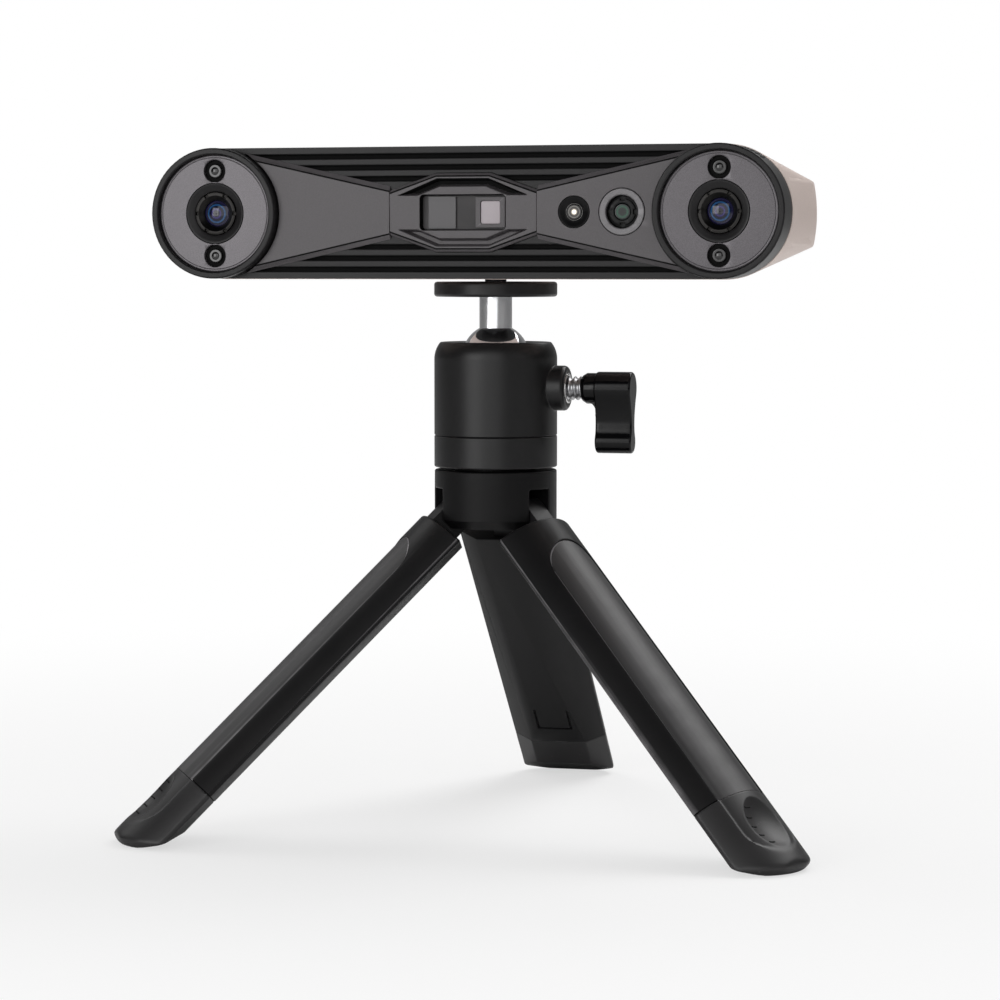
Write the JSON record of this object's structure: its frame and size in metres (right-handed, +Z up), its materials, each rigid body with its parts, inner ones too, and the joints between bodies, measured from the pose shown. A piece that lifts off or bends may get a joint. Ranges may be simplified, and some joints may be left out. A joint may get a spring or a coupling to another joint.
{
  "type": "three-d scanner",
  "caption": "Bar-shaped stereo 3-D scanner with a central projector and a colour camera, on a folding mini tripod with a clamped ball head",
  "frame": {"origin": "middle of the footprint on the table", "axes": "+Z up, the lenses face -Y, +X to the right as the picture shows it, the clamp knob's side"},
  "size_m": [0.2026, 0.1822, 0.1998],
  "materials": {
    "casing_black": "satin moulded plastic",
    "panel_grey": "dark warm grey satin coat",
    "lens_black": "black anodised",
    "lens_glass": "coated optical glass",
    "lamp_lens": "clear moulded lens",
    "shell_bronze": "bronze-taupe metallic paint",
    "alloy": "plain sheet",
    "brass": "turned",
    "board_green": "circuit board",
    "steel": "plated",
    "button_black": "satin",
    "nylon": "natural nylon",
    "chrome": "polished",
    "tripod_black": "satin moulded plastic",
    "knob_gloss": "gloss moulded plastic",
    "grip_black": "fine matt grain",
    "foot_rubber": "soft matt"
  },
  "bodies": {
    "hub": {"leg_hub": "tripod_black", "hinge_pins": "steel", "pan_washer": "nylon", "pan_bolt": "steel"},
    "head": {"housing_base": "tripod_black", "ball_housing": "tripod_black", "clamp_bushing": "steel"},
    "seat": {"ball_seat": "nylon"},
    "ball": {"ball_stem": "chrome", "platform": "tripod_black", "mount_screw": "steel"},
    "clamp": {"clamp_shoe": "nylon"},
    "knob": {"clamp_screw": "steel", "clamp_knob": "knob_gloss"},
    "scanner": {"front_casing": "casing_black", "left_panel": "panel_grey", "right_panel": "panel_grey", "projector_bezel": "panel_grey", "projector_module": "casing_black", "projector_glass": "lens_glass", "emitter_frame": "panel_grey", "emitter_window": "lamp_lens", "left_lens_plate": "panel_grey", "left_lens_surround": "lens_black", "left_lens_barrel": "lens_black", "left_lens_glass": "lens_glass", "left_fill_lights": "lamp_lens", "left_camera_module": "lens_black", "right_lens_plate": "panel_grey", "right_lens_surround": "lens_black", "right_lens_barrel": "lens_black", "right_lens_glass": "lens_glass", "right_fill_lights": "lamp_lens", "right_camera_module": "lens_black", "camera_ring": "panel_grey", "camera_barrel": "lens_black", "camera_glass": "lens_glass", "flash_cup": "lens_black", "flash_lamp": "lamp_lens", "chassis": "alloy", "chassis_screws": "steel", "rear_shell": "shell_bronze", "thread_insert": "brass", "main_board": "board_green", "board_screws": "steel", "scan_switch": "casing_black", "usb_port": "steel", "status_light": "lamp_lens"},
    "button": {"scan_button": "button_black"},
    "rear_leg_unit": {"rear_leg": "tripod_black", "rear_leg_grip": "grip_black", "rear_foot": "foot_rubber"},
    "left_leg_unit": {"left_leg": "tripod_black", "left_leg_grip": "grip_black", "left_foot": "foot_rubber"},
    "right_leg_unit": {"right_leg": "tripod_black", "right_leg_grip": "grip_black", "right_foot": "foot_rubber"}
  },
  "joints": [
    {"name": "rear_leg_fold", "type": "hinge", "parent": "hub", "child": "rear_leg_unit", "pos_m": [-0.00229, -0.01093, 0.09364], "axis": [-0.9993, -0.0366, 0], "range_deg": [0, 46]},
    {"name": "left_leg_fold", "type": "hinge", "parent": "hub", "child": "left_leg_unit", "pos_m": [-0.01201, -0.0293, 0.09364], "axis": [0.5314, -0.8471, 0], "range_deg": [0, 46]},
    {"name": "right_leg_fold", "type": "hinge", "parent": "hub", "child": "right_leg_unit", "pos_m": [0.00876, -0.02854, 0.09364], "axis": [0.4679, 0.8838, 0], "range_deg": [0, 46]},
    {"name": "head_pan", "type": "hinge", "parent": "hub", "child": "head", "pos_m": [-0.00185, -0.02292, 0.10694], "axis": [0, 0, 1], "continuous": true},
    {"name": "ball_nod", "type": "hinge", "parent": "head", "child": "seat", "pos_m": [-0.00185, -0.02292, 0.13894], "axis": [1, 0, 0], "range_deg": [-30, 30]},
    {"name": "ball_roll", "type": "hinge", "parent": "seat", "child": "ball", "pos_m": [-0.00185, -0.02292, 0.13894], "axis": [0, 1, 0], "range_deg": [-30, 30]},
    {"name": "scanner_turn", "type": "hinge", "parent": "ball", "child": "scanner", "pos_m": [-0.00185, -0.02292, 0.16134], "axis": [0, 0, 1], "continuous": true},
    {"name": "clamp_travel", "type": "slide", "parent": "head", "child": "clamp", "axis": [1, 0, 0], "range_m": [0, 0.001]},
    {"name": "knob_turn", "type": "hinge", "parent": "clamp", "child": "knob", "pos_m": [0.02815, -0.02292, 0.13024], "axis": [1, 0, 0], "range_deg": [0, 360]},
    {"name": "button_press", "type": "slide", "parent": "scanner", "child": "button", "axis": [0, -1, 0], "range_m": [0, 0.0008], "stiffness_N_per_m": 800, "springref_m": -0.0005}
  ],
  "couplings": [
    {"joint": "clamp_travel", "follows": "knob_turn", "m_per_rad": 0.00015915}
  ]
}
